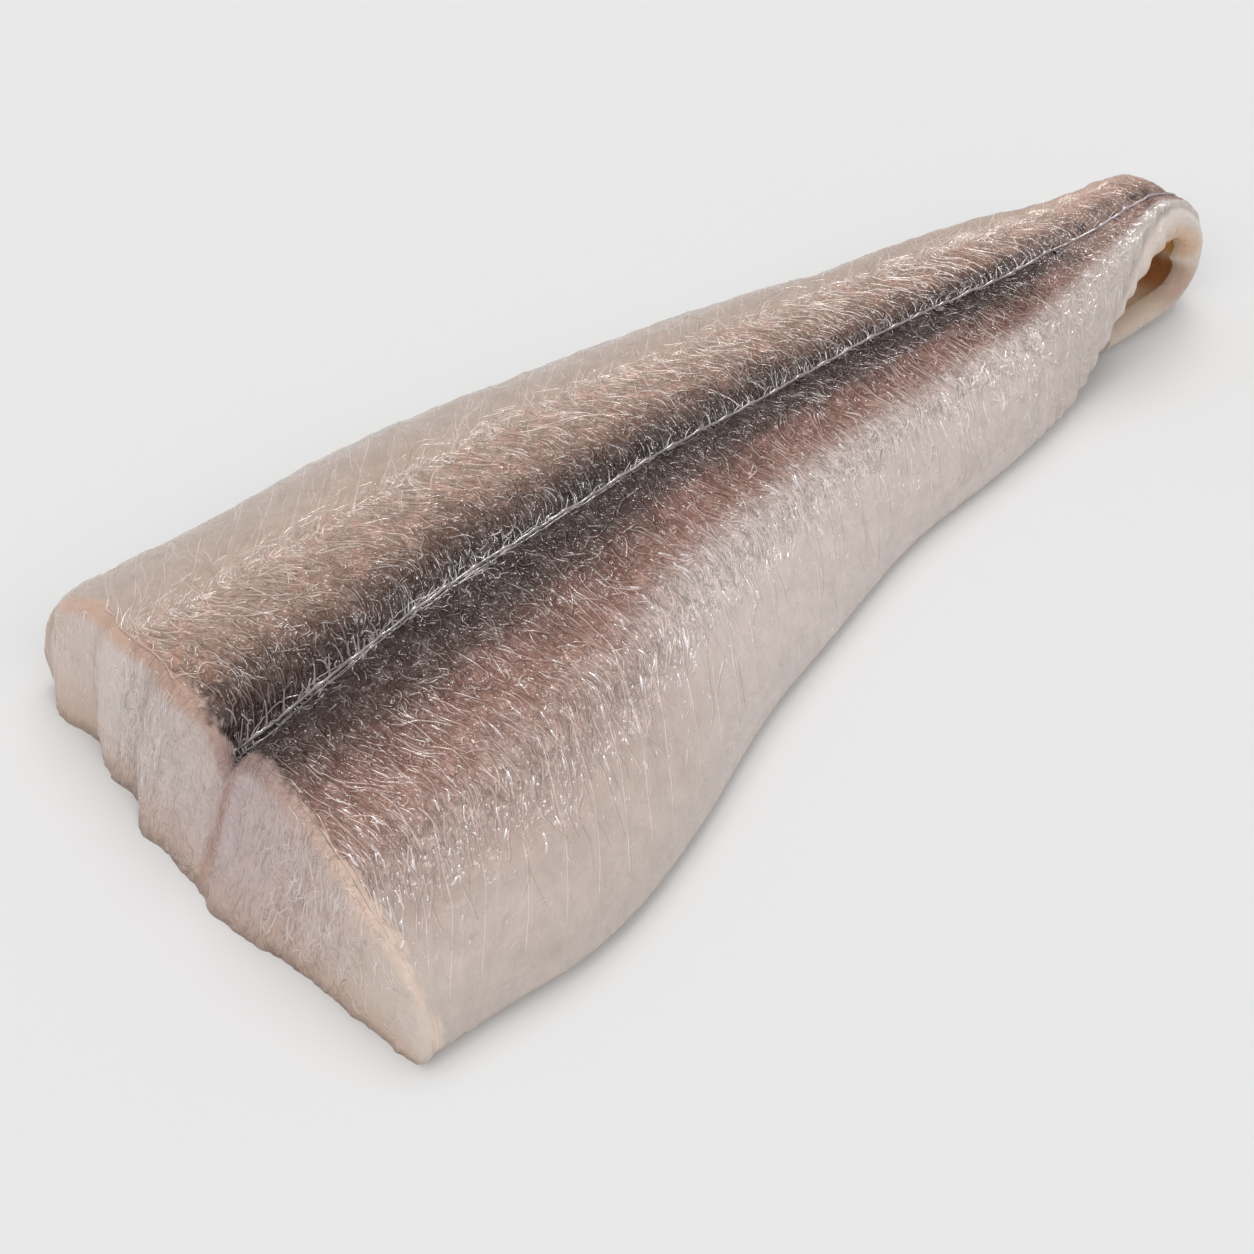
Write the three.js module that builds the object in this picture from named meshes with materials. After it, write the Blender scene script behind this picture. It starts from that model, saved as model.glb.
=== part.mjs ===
// A raw saithe fillet lying skinned side up, its thin tail folded under itself.
// Millimetres. X runs from the straight cut end to the tail, Y from the belly edge to the
// back edge, Z up from the table the fillet lies on.
import * as THREE from 'three';

// ---- the tail's fold
const FOLD_X = 266;      // distance from the cut to where the strip starts to turn over
const HOLLOW_R = 9;      // radius of the hollow inside the curl
const STRIP_T = 9.5;     // thickness of the strip on top of the curl
const FLAP_T = 8.5;      // thickness of the end that lies on the table
const FLAP_L = 12;       // length of that end past the curl, at the midline
const FLAP_SLANT = 0.75; // how much longer it is on the back side, shorter on the belly side
const RISE_X = 205;      // where the underside leaves the table on its way up to the fold
const BELLY_LAG = 20;    // the belly edge leaves it this much later
const BACK_LEAD = 10;    // and the back edge this much sooner
const WRINKLE = 3.2;     // height of the soft wrinkle on the inside of the curl
const WRINKLE_W = 0.34;  // half width of that wrinkle, radians round the curl

// ---- the body: distance from the cut, belly half width, back half width, height, midline
const STATIONS = [
  [0, 65, 66, 34, 1],
  [40, 66, 63.5, 36, 1.5],
  [75, 61.5, 59, 36, 5],
  [115, 47.5, 52, 34.5, 8],
  [155, 38, 45.5, 31.5, 9],
  [195, 31.5, 38, 28.5, 9],
  [228, 24, 27, 28.5, 6.5],
  [248, 17, 19, 32, 3.5],
  [FOLD_X, 12, 14, 36, 1.5],
  [330, 10.5, 12, 36, 1],
];
const BELLY = 1;
const BACK = 2;
const HEIGHT = 3;
const MIDLINE = 4;

// ---- the section
const CREST = 0.27;        // the belly side falls away outside this share of its width
const BELLY_FALL = 0.72;   // how steeply
const BELLY_EDGE = 0.13;   // height of the belly edge, as a share of the crown
const BACK_EDGE = 0.36;    // height of the back edge, as a share of the crown
const GROOVE_CUT = 0.25;   // depth of the middle groove at the cut end, share of the height
const GROOVE_RUN = 28;     // how far from the cut that deep part reaches
const GROOVE = 0.035;      // depth of the groove along the rest
const GROOVE_W = 0.075;    // half width of the groove, share of the half width
const SIDE_ROUND = 3.5;    // how far the two sides draw in towards the table

// ---- the cut end
const LEAN = 5;            // the top of the cut stands back by this much
const FOOT = 7.4;          // the foot swells forward by this much
const FOOT_Y = -4;         // middle of that swelling
const FOOT_W = 34;         // half width of it
const CUT_FADE = 20;       // how far inside the fillet the cut's shape is felt
const FLAKE_W = 19;        // width of one flake of flesh
const FLAKE_D = 1.7;       // how far a flake stands out
const FLAKE_Y = 6;         // the first flake starts here, on the back side of the groove
const LOW_WAVE = 0.9;      // slow waves on the sides of the fillet

const ROWS_LONG = 60;
const ROWS_WIDE = 30;
const ROWS_DEEP = 6;

const ARC_L = Math.PI * (HOLLOW_R + STRIP_T / 2);
const TOTAL_L = FOLD_X + ARC_L + FLAP_L;
const FOLD_Z = FLAP_T + HOLLOW_R;

function smooth(from, to, value) {
  const t = THREE.MathUtils.clamp((value - from) / (to - from), 0, 1);
  return t * t * (3 - 2 * t);
}

function bell(value) {
  return Math.exp(-value * value);
}

// slope of a station column at one station, weighted by the distance to its neighbours
function slopeAt(index, column) {
  const last = STATIONS.length - 1;
  const rise = (i) => (STATIONS[i + 1][column] - STATIONS[i][column])
    / (STATIONS[i + 1][0] - STATIONS[i][0]);
  if (index === 0) return rise(0);
  if (index === last) return rise(last - 1);
  const before = STATIONS[index][0] - STATIONS[index - 1][0];
  const after = STATIONS[index + 1][0] - STATIONS[index][0];
  return (rise(index) * before + rise(index - 1) * after) / (before + after);
}

// smooth curve through one column of the stations
function along(s, column) {
  const last = STATIONS.length - 1;
  let i = 0;
  while (i < last - 1 && s > STATIONS[i + 1][0]) i += 1;
  const span = STATIONS[i + 1][0] - STATIONS[i][0];
  const t = THREE.MathUtils.clamp((s - STATIONS[i][0]) / span, 0, 1);
  const a = STATIONS[i][column];
  const b = STATIONS[i + 1][column];
  const ma = slopeAt(i, column) * span;
  const mb = slopeAt(i + 1, column) * span;
  return (2 * t ** 3 - 3 * t ** 2 + 1) * a + (t ** 3 - 2 * t ** 2 + t) * ma
    + (3 * t ** 2 - 2 * t ** 3) * b + (t ** 3 - t ** 2) * mb;
}

// height of the underside over the table
function lift(s, v) {
  const start = RISE_X + (v < 0 ? BELLY_LAG : -BACK_LEAD) * v * v;
  return (FOLD_Z + HOLLOW_R) * smooth(start, FOLD_X, s);
}

// a point of the underside and the direction in which the flesh stands on it
function base(s, v) {
  if (s <= FOLD_X) return { x: s, z: lift(s, v), nx: 0, nz: 1, bump: 0 };
  const angle = Math.PI * Math.min((s - FOLD_X) / ARC_L, 1);
  const past = Math.max(s - FOLD_X - ARC_L, 0) * (1 + FLAP_SLANT * v);
  const bump = WRINKLE * bell((angle - 1.75) / WRINKLE_W) * smooth(0.9, -0.5, v);
  const nx = Math.sin(angle);
  const nz = Math.cos(angle);
  return {
    x: FOLD_X + HOLLOW_R * nx - past,
    z: FOLD_Z + HOLLOW_R * nz,
    nx,
    nz,
    bump,
  };
}

// thickness at the crown of the section
function crown(s) {
  if (s <= FOLD_X) return along(s, HEIGHT) - lift(s, 0);
  return THREE.MathUtils.lerp(STRIP_T, FLAP_T, Math.min((s - FOLD_X) / ARC_L, 1));
}

// thickness across the section, as a share of the crown
function share(s, v) {
  const a = Math.min(Math.abs(v), 1);
  const slope = 1 - BELLY_FALL * Math.max(a - CREST, 0);
  const belly = BELLY_EDGE + (1 - BELLY_EDGE) * slope * Math.sqrt(1 - a ** 9);
  const back = BACK_EDGE + (1 - BACK_EDGE) * Math.sqrt(1 - a ** 5);
  const edge = THREE.MathUtils.lerp(0.34, 0.84, smooth(246, 274, s));
  const strip = edge + (1 - edge) * Math.sqrt(1 - a ** 6);
  const body = v < 0 ? belly : back;
  const groove = (GROOVE_CUT * bell(s / GROOVE_RUN) + GROOVE)
    * Math.exp(-((a / GROOVE_W) ** 1.5));
  return THREE.MathUtils.lerp(body, strip, smooth(190, 262, s)) - groove;
}

// rounded flakes of flesh standing out of the cut face
function flakes(y) {
  if (y > FLAKE_Y) return FLAKE_D * Math.abs(Math.sin(Math.PI * (y - FLAKE_Y) / FLAKE_W));
  return 0.5 * FLAKE_D * Math.sin(Math.PI * Math.min((FLAKE_Y - y) / 34, 2)) ** 2;
}

// the fillet itself: s along it, v across it (-1 belly edge, 1 back edge), w up through it
function fleshPoint(s, v, w) {
  const height = crown(s) * share(s, v);
  const under = base(s, v);
  const half = along(s, v < 0 ? BELLY : BACK);
  const swell = Math.min(SIDE_ROUND, 0.5 * height);
  const reach = Math.min(2.6 * swell / half, 1);
  const inward = Math.max(Math.abs(v) - 1 + reach, 0) / reach;
  const round = swell * (inward * (1 - w)) ** 2;
  const wave = LOW_WAVE * Math.sin(s / 13 + 2 * v) * Math.abs(v) ** 5 * smooth(0, 30, s);
  const y = along(s, MIDLINE) + v * half + Math.sign(v) * (wave * smooth(280, 200, s) - round);
  const up = w * height - under.bump * (1 - w);
  const face = bell(s / CUT_FADE);
  const foot = FOOT * bell((y - FOOT_Y) / FOOT_W) + flakes(y);
  const cut = LEAN * w * height / 34 - (foot + 0.6) * (1 - w) ** 1.2 - 0.55 * flakes(y) * w;
  return new THREE.Vector3(
    under.x + under.nx * up + cut * face,
    y,
    under.z + under.nz * up,
  );
}

// rows of the block: closer together at the cut end and round the curl
function distanceOf(u) {
  const marks = [
    [0, 0],
    [0.06, 6],
    [0.5, RISE_X - 5],
    [0.7, FOLD_X],
    [0.94, FOLD_X + ARC_L],
    [1, TOTAL_L],
  ];
  let i = 0;
  while (i < marks.length - 2 && u > marks[i + 1][0]) i += 1;
  const t = (u - marks[i][0]) / (marks[i + 1][0] - marks[i][0]);
  return THREE.MathUtils.lerp(marks[i][1], marks[i + 1][1], t);
}

// and closer together at the groove and at both edges
function acrossOf(t) {
  return t - 0.6 * Math.sin(2 * Math.PI * t) / (2 * Math.PI);
}

function makeFillet() {
  const block = new THREE.BoxGeometry(1, 1, 1, ROWS_LONG, ROWS_WIDE, ROWS_DEEP);
  const place = block.getAttribute('position');
  const lowest = new THREE.Vector3(Infinity, Infinity, Infinity);
  const highest = lowest.clone().negate();
  // whole row numbers, so that two faces meet in exactly the same points
  const row = (value, rows) => Math.round((value + 0.5) * rows) / rows;
  for (let i = 0; i < place.count; i += 1) {
    const s = distanceOf(row(place.getX(i), ROWS_LONG));
    const v = acrossOf(2 * row(place.getY(i), ROWS_WIDE) - 1);
    const point = fleshPoint(s, v, row(place.getZ(i), ROWS_DEEP));
    place.setXYZ(i, point.x, point.y, point.z);
    lowest.min(point);
    highest.max(point);
  }
  block.translate(-(lowest.x + highest.x) / 2, -(lowest.y + highest.y) / 2, -lowest.z);
  block.computeVertexNormals();
  return block;
}

const flesh = new THREE.MeshStandardMaterial({ color: '#b3a096', roughness: 0.3, metalness: 0 });
const fillet = new THREE.Mesh(makeFillet(), flesh);
fillet.name = 'fillet';

const part = new THREE.Group();
part.name = 'saithe_fillet';
part.add(fillet);

export default part;
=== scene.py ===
# %% [markdown]
# # A raw saithe fillet
# The fillet lies skinned side up, its thin tail folded under itself. The fixed frame is loaded
# first: it is the plain solid, in metres, and the pieces made below follow its shape.

# %% Load the frame
import math
import bmesh
import bpy
import numpy as np
from mathutils import Matrix, Vector


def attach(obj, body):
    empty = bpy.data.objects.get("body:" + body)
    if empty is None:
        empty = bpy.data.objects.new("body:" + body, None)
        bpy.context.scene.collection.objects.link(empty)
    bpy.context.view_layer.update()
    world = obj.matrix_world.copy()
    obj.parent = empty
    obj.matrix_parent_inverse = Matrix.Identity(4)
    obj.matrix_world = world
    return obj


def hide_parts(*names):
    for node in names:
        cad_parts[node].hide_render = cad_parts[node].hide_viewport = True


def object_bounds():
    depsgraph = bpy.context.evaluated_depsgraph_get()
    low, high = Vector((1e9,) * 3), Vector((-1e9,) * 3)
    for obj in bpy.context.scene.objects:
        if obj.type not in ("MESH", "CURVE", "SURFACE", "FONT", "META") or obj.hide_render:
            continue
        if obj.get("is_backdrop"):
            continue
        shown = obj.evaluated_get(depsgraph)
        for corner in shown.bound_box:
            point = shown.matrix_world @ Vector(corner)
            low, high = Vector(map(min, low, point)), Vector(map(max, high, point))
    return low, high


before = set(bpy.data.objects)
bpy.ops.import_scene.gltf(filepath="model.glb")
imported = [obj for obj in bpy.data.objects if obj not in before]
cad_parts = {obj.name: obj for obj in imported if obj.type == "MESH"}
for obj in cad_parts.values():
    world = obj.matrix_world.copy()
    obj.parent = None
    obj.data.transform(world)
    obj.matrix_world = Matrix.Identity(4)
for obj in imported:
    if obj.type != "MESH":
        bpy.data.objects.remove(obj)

cad_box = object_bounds()
scene = bpy.context.scene
print("solids:", list(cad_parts), "box", [tuple(round(c, 4) for c in corner) for corner in cad_box])

# %% [markdown]
# ## Camera
# The fillet is seen from half above, over its cut end and its belly edge. A long lens keeps the
# two ends nearly the same scale. The place, target and field of view were fitted to the outline.

# %% Camera
FIELD_OF_VIEW = math.radians(30)
camera_data = bpy.data.cameras.new("camera")
camera_data.sensor_width = 36
camera_data.lens = 18 / math.tan(FIELD_OF_VIEW / 2)
camera = bpy.data.objects.new("camera", camera_data)
camera.location = (-0.27041, -0.27233, 0.35711)
target = Vector((-0.03613, -0.00282, 0))
camera.rotation_euler = (target - camera.location).to_track_quat("-Z", "Y").to_euler()
scene.collection.objects.link(camera)
scene.camera = camera
print("camera", round((target - camera.location).length, 4), "m from its target")

# %% [markdown]
# ## Floor and light
# Raw fish is shown on a plain pale table under soft light. Three suns with very wide discs light
# a large floor evenly, which a near area lamp can't, and still give soft shadows. The white
# world fills the shadows. One small lamp is seen only in reflections: it gives the wet glints.

# %% Floor and light
scene.view_settings.view_transform = "Standard"


def srgb(red, green, blue):
    """A colour picked on screen, 0 to 255, as the linear colour that nodes use."""
    parts = (red, green, blue)
    return tuple(((c / 255 + 0.055) / 1.055) ** 2.4 if c > 10 else c / 3295 for c in parts) + (1,)


ground = bmesh.new()
bmesh.ops.create_grid(ground, x_segments=1, y_segments=1, size=2)
floor_mesh = bpy.data.meshes.new("floor")
ground.to_mesh(floor_mesh)
ground.free()
floor = bpy.data.objects.new("floor", floor_mesh)
scene.collection.objects.link(floor)
floor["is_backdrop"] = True

world = bpy.data.worlds.new("studio")
world.use_nodes = True
world.node_tree.nodes["Background"].inputs["Color"].default_value = (1, 1, 1, 1)
world.node_tree.nodes["Background"].inputs["Strength"].default_value = 0.50
scene.world = world


def lamp(name, kind, power, place, aim, size):
    """A sun or an area lamp at one place, turned to a point."""
    data = bpy.data.lights.new(name, kind)
    data.energy = power
    if kind == "SUN":
        data.angle = size
    else:
        data.size = size
    made = bpy.data.objects.new(name, data)
    made.location = place
    made.rotation_euler = (Vector(aim) - Vector(place)).to_track_quat("-Z", "Y").to_euler()
    scene.collection.objects.link(made)
    return made


lamp("box_above", "SUN", 1.05, (0.42, 0.35, 1.2), (0, 0, 0), math.radians(38))
lamp("box_left", "SUN", 0.56, (-0.95, -0.25, 1.0), (0, 0, 0), math.radians(34))
lamp("box_right", "SUN", 0.40, (0.1, -0.95, 0.9), (0, 0, 0), math.radians(34))
window = lamp("window", "AREA", 8.0, (0.32, 0.24, 0.95), (0, 0, 0), 0.2)
window.visible_diffuse = False

# %% [markdown]
# ## Sizes and shape of the flesh
# The same named sizes as the plain solid, in millimetres. A point of the flesh is named by how
# far along it lies from the cut (s), how far across (v, -1 at the belly edge, 1 at the back
# edge) and how high in the flesh (w, 0 below, 1 on top). One function turns these three into
# a place, so that the body and everything that grows on it use one shape.

# %% Sizes
FOLD_X, HOLLOW_R, STRIP_T = 266, 9, 9.5
FLAP_T, FLAP_L, FLAP_SLANT = 8.5, 22, 0.3
RISE_X, BELLY_LAG, BACK_LEAD = 205, 20, 10
WRINKLE, WRINKLE_W, CURL_OUT = 3.2, 0.34, 4.5
# distance from the cut, belly half width, back half width, height, midline
STATIONS = np.array([
    (0, 65, 66, 34, 1), (40, 66, 63.5, 36, 1.5), (75, 61.5, 59, 36, 5),
    (115, 47.5, 52, 34.5, 8), (155, 38, 45.5, 31.5, 9), (195, 31.5, 38, 28.5, 9),
    (228, 24, 27, 28.5, 6.5), (248, 17, 19, 32, 3.5), (266, 12, 14, 36, 1.5), (330, 10.5, 12, 36, 1),
], float)
BELLY, BACK, HEIGHT, MIDLINE = 1, 2, 3, 4
ARC_L = math.pi * (HOLLOW_R + STRIP_T / 2)
TOTAL_L = FOLD_X + ARC_L + FLAP_L
FOLD_Z = FLAP_T + HOLLOW_R
CENTRE = np.array([138.47256, 0.85646, 0.0])
# widest half width, and the walls' spacing at the cut
WIDEST, WALL_STEP = 65, 8.6
# flakes of the cut face: where they start across, and the width and depth of each
FLAKE_START, FLAKE_WIDE, FLAKE_DEEP = 6, 19, 2.4
print("length along the curl", round(TOTAL_L, 1), "mm")

# %% Curves through the stations


def smooth(start, end, value):
    t = np.clip((value - start) / (end - start), 0, 1)
    return t * t * (3 - 2 * t)


def bell(value):
    return np.exp(-value * value)


def along(s, column):
    """The smooth curve through one column of the stations."""
    x, y = STATIONS[:, 0], STATIONS[:, column]
    rise, step = np.diff(y) / np.diff(x), np.diff(x)
    middle = (rise[1:] * step[:-1] + rise[:-1] * step[1:]) / (step[1:] + step[:-1])
    slope = np.concatenate([rise[:1], middle, rise[-1:]])
    i = np.clip(np.searchsorted(x, s) - 1, 0, len(x) - 2)
    h = x[i + 1] - x[i]
    t = np.clip((s - x[i]) / h, 0, 1)
    bend = (t ** 3 - 2 * t ** 2 + t) * slope[i] + (t ** 3 - t ** 2) * slope[i + 1]
    return y[i] + (3 * t ** 2 - 2 * t ** 3) * (y[i + 1] - y[i]) + bend * h


def half_width(s, v):
    return np.where(v < 0, along(s, BELLY), along(s, BACK))


# %% Height of the section


def lift(s, v):
    """How far the underside is raised off the table, in millimetres."""
    start = RISE_X + np.where(v < 0, BELLY_LAG, -BACK_LEAD) * v * v
    return (FOLD_Z + HOLLOW_R) * smooth(start, FOLD_X, s)


def crown(s):
    """Thickness at the midline: the body's, then the folded strip's."""
    round_curl = STRIP_T + (FLAP_T - STRIP_T) * np.clip((s - FOLD_X) / ARC_L, 0, 1)
    return np.where(s <= FOLD_X, along(s, HEIGHT) - lift(s, 0 * s), round_curl)


def share(s, v):
    """How much of that thickness is left at v across, and the groove in the middle."""
    a = np.minimum(np.abs(v), 1)
    belly = 0.13 + 0.87 * (1 - 0.72 * np.maximum(a - 0.27, 0)) * np.sqrt(1 - a ** 9)
    back = 0.36 + 0.64 * np.sqrt(1 - a ** 5)
    edge = 0.34 + 0.5 * smooth(246, 274, s)
    strip = edge + (1 - edge) * np.sqrt(1 - a ** 6)
    body = np.where(v < 0, belly, back)
    groove = (0.25 * bell(s / 28) + 0.035) * np.exp(-(a / 0.075) ** 1.5)
    return body + (strip - body) * smooth(190, 262, s) - groove


def flakes(y):
    """How far the cut face bulges at y across: three flakes on the back, two swells on the belly."""
    back = FLAKE_DEEP * np.sin(np.pi * np.mod((y - FLAKE_START) / FLAKE_WIDE, 1) ** 1.9)
    belly = 0.85 * np.sin(np.pi * np.minimum((FLAKE_START - y) / 34, 2)) ** 2
    return np.where(y > FLAKE_START, back, belly)


# %% [markdown]
# ## Low relief
# Muscle is a stack of flakes with thin walls of tissue between them. Each wall reaches the
# surface as a line that zigzags from the belly to the back. The lines are 8.6 mm apart at the
# cut and a little closer at the tail. One number, the wall count, tells how many walls lie
# between a point and the cut. Ridges, colours and fibres all follow it.

# %% Walls between the flakes
# across (v), how far a wall's line lies tailward there (mm on the widest section)
LINE_V = np.array([-1, -0.92, -0.8, -0.69, -0.585, -0.48, -0.354, -0.215, 0,
                   0.06, 0.15, 0.24, 0.36, 0.5, 0.61, 0.76, 1])
LINE_S = np.array([-10.5, -5.2, 1.5, 5.3, 8.5, 7, 2.5, 0, 0, 2.5, 4, 3, -1, -9, -1, 8, 20])


def wall_shift(s, v):
    """How far tailward a wall's line lies at v across, in millimetres."""
    return np.interp(v, LINE_V, LINE_S) * half_width(s, v) / WIDEST


def wall_count(s, v):
    """How many walls lie between the cut and a point."""
    t = s - wall_shift(s, v)
    return (t + 0.00035 * t * t) / WALL_STEP


def lumps(x, y, seed):
    """Smooth random lumps, one unit apart, between -1 and 1."""
    table = np.random.default_rng(seed).uniform(-1, 1, (64, 64))
    i, j = np.floor(x).astype(int), np.floor(y).astype(int)
    fx, fy = smooth(0, 1, x - i), smooth(0, 1, y - j)
    low = table[i % 64, j % 64] * (1 - fx) + table[(i + 1) % 64, j % 64] * fx
    high = table[i % 64, (j + 1) % 64] * (1 - fx) + table[(i + 1) % 64, (j + 1) % 64] * fx
    return low * (1 - fy) + high * fy


def relief(s, v):
    """Height of the low relief on top, in millimetres."""
    d = v * half_width(s, v)
    count = wall_count(s, v)
    ridge = 0.2 * np.abs(np.cos(np.pi * count)) ** 6
    soft = 0.28 * lumps(s / 7, d / 4.5, 1) + 0.16 * lumps(s / 2.6, d / 2.2, 2)
    pinched = smooth(190, 215, s) * smooth(285, 262, s) * smooth(-0.6, -0.85, v)
    folds = pinched * (0.7 * lumps(s / 2.6, d / 1.8, 3) + 0.3)
    return (ridge + soft + folds) * (1 - 0.75 * smooth(0.9, 1, np.abs(v))) * smooth(302, 280, s)


# %% Place of a point


def place(s, v, w):
    """Metres in the frame, for along s (mm), across v and up w."""
    # the strip turns over the hollow and comes back under the body
    height = crown(s) * share(s, v)
    turn = np.pi * np.clip((s - FOLD_X) / ARC_L, 0, 1)
    past = np.maximum(s - FOLD_X - ARC_L, 0) * (1 + FLAP_SLANT * v)
    curled = s > FOLD_X
    nx, nz = np.where(curled, np.sin(turn), 0), np.where(curled, np.cos(turn), 1)
    base_x = np.where(curled, FOLD_X + HOLLOW_R * nx - past, s)
    base_z = np.where(curled, FOLD_Z + HOLLOW_R * nz, lift(s, v))
    # the lower half of the curl bulges out, and its inside has one wrinkle
    lower = smooth(0.15, 0.7, turn / np.pi) * smooth(FOLD_X + ARC_L + 14, FOLD_X + ARC_L, s)
    base_x = base_x + CURL_OUT * lower * smooth(0.9, -0.6, v)
    bump = np.where(curled, WRINKLE * bell((turn - 1.75) / WRINKLE_W) * smooth(0.9, -0.5, v), 0)
    # the body's edges are drawn in below, and the strip's edges are round
    half = half_width(s, v)
    strip = smooth(238, 266, s)
    swell = np.minimum(3.5, 0.5 * height)
    reach = np.minimum(2.6 * swell / half, 1)
    inward = np.maximum(np.abs(v) - 1 + reach, 0) / reach
    drawn = swell * (1 - strip) * (inward * (1 - w)) ** 2
    belt = np.clip((np.abs(v) - 0.2) / 0.8, 0, 1) ** 2
    drawn = drawn + 4 * strip * belt * (1 - np.sqrt(np.clip(1 - (2 * w - 1) ** 2, 0, 1)))
    # the outline waves at both edges
    wave = 0.9 * np.sin(s / 13 + 2 * v) * np.abs(v) ** 5 * smooth(0, 30, s) * smooth(280, 200, s)
    puckers = smooth(205, 225, s) * smooth(282, 262, s)
    wave = wave + 0.5 * np.sin(s * 1.3 + np.sin(s * 0.4)) * np.clip(-v, 0, 1) ** 6 * puckers
    scallops = 0.35 * np.sin(s * 1.14) * smooth(110, 200, s) * np.clip(v, 0, 1) ** 9
    y = along(s, MIDLINE) + v * half + np.sign(v) * (wave + scallops - drawn)
    up = w * (height + relief(s, v) * w) - bump * (1 - w)
    # the cut face leans back at the top, swells forward at the foot and is rough
    stack = flakes(y + 1.5 - 14 * w * (1 - w))
    foot = 7.4 * bell((y + 4) / 34) + stack
    cut = 5 * w * height / 34 - (foot + 0.6) * (1 - w) ** 1.2 - 0.6 * stack * w
    z = w * height
    ragged = 0.45 * lumps(y / 4.1, z / 9, 4) + 0.25 * lumps(y / 1.3 + 0.1 * z, z / 8, 5)
    ragged = ragged + 0.5 * lumps(y / 9, z / 12, 6)
    shoulder = np.clip((z - height + 4) / 4, 0, 1)
    ragged = ragged * (1 - 0.5 * shoulder) + 1.7 * (1 - np.sqrt(1 - 0.98 * shoulder ** 2))
    up = up - 1.5 * w * (1 - np.sqrt(1 - 0.98 * np.clip(1 - s / 4, 0, 1) ** 2))
    step = cut * bell(s / 20) + ragged * bell(s / 5)
    return (np.stack([base_x + nx * up + step, y, base_z + nz * up], -1) - CENTRE) / 1000


# %% [markdown]
# ## The body of flesh
# The fillet is one thick piece of muscle. It could be sculpted, but a block that is cut into
# rows and then moved point by point keeps the sizes above exact. A cube is cut into rows one
# way at a time, and every point is then set down by `place`. Three numbers stay on each
# point for the materials: along, across and up, with the wall count beside them.

# %% Cut a block into rows
ROWS_LONG, ROWS_WIDE, ROWS_DEEP = 292, 144, 12

block = bmesh.new()
bmesh.ops.create_cube(block, size=1)
for axis, rows in enumerate((ROWS_LONG, ROWS_WIDE, ROWS_DEEP)):
    way = Vector([float(axis == k) for k in range(3)])
    edges = [e for e in block.edges if abs((e.verts[1].co - e.verts[0].co).normalized().dot(way)) > 0.9]
    bmesh.ops.subdivide_edges(block, edges=edges, cuts=rows - 1, use_grid_fill=True)
bmesh.ops.recalc_face_normals(block, faces=block.faces)
flesh_mesh = bpy.data.meshes.new("flesh")
block.to_mesh(flesh_mesh)
block.free()
print("block", len(flesh_mesh.vertices), "points", len(flesh_mesh.polygons), "faces")

# %% Set the rows down as flesh


def note(mesh, s, v, w):
    """Keep along, across, up and the wall count on the points, for the materials."""
    spot = mesh.attributes.new("spot", "FLOAT_VECTOR", "POINT")
    spot.data.foreach_set("vector", np.stack([s / 100, v, w], -1).astype(np.float32).ravel())
    wall = mesh.attributes.new("wall", "FLOAT", "POINT")
    wall.data.foreach_set("value", wall_count(s, v).astype(np.float32))


def shape_points(mesh, points):
    mesh.vertices.foreach_set("co", points.astype(np.float32).ravel())
    mesh.update()


cube = np.empty(len(flesh_mesh.vertices) * 3, np.float32)
flesh_mesh.vertices.foreach_get("co", cube)
cube = cube.reshape(-1, 3).astype(float) + 0.5
s = np.rint(cube[:, 0] * ROWS_LONG) / ROWS_LONG * TOTAL_L
v = np.clip(np.rint(cube[:, 1] * ROWS_WIDE) / ROWS_WIDE * 2 - 1, -1, 1)
w = 1 - (1 - np.rint(cube[:, 2] * ROWS_DEEP) / ROWS_DEEP) ** 1.35
shape_points(flesh_mesh, place(s, v, w))
note(flesh_mesh, s, v, w)
flesh_mesh.shade_smooth()
flesh = bpy.data.objects.new("flesh", flesh_mesh)
scene.collection.objects.link(flesh)
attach(flesh, "root")
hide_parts("fillet")
print("flesh", [round(c * 1000, 1) for c in flesh.dimensions], "mm")

# %% [markdown]
# ## Nodes in a few words
# Materials are built from code here. One helper adds a node, sets its values and links what is
# given as a socket, so that a finish reads from top to bottom like a recipe.

# %% Node helper


def node(tree, kind, values=(), **settings):
    """Add one shader node. Values are by socket name or number; a socket as value is linked."""
    made = tree.nodes.new("ShaderNode" + kind)
    made.location = (190 * (len(tree.nodes) % 12), -260 * (len(tree.nodes) // 12))
    for key, value in settings.items():
        setattr(made, key, value)
    for key, value in dict(values).items():
        if isinstance(value, bpy.types.NodeSocket):
            tree.links.new(value, made.inputs[key])
        else:
            made.inputs[key].default_value = value
    return made


def maths(tree, operation, *values, clamp=False):
    return node(tree, "Math", enumerate(values), operation=operation, use_clamp=clamp).outputs[0]


def fade(tree, value, start, end):
    """A smooth mask: 0 at start, 1 at end."""
    numbers = {"Value": value, "From Min": start, "From Max": end}
    return node(tree, "MapRange", numbers, interpolation_type="SMOOTHSTEP").outputs["Result"]


def blend(tree, share_of_second, first, second):
    values = {"Factor": share_of_second, 6: first, 7: second}
    return node(tree, "Mix", values, data_type="RGBA", clamp_factor=True).outputs[2]


def ramp(tree, value, stops):
    made = node(tree, "ValToRGB", {"Fac": value})
    elements = made.color_ramp.elements
    elements[0].position, elements[0].color = stops[0][0], srgb(*stops[0][1])
    elements[1].position, elements[1].color = stops[-1][0], srgb(*stops[-1][1])
    for position, colour in stops[1:-1]:
        elements.new(position).color = srgb(*colour)
    return made.outputs["Color"]


def noise(tree, scale, detail=3, distortion=0.0):
    values = {"Scale": scale, "Detail": detail, "Distortion": distortion}
    values["Vector"] = node(tree, "TexCoord").outputs["Object"]
    return node(tree, "TexNoise", values).outputs["Fac"]


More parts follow.
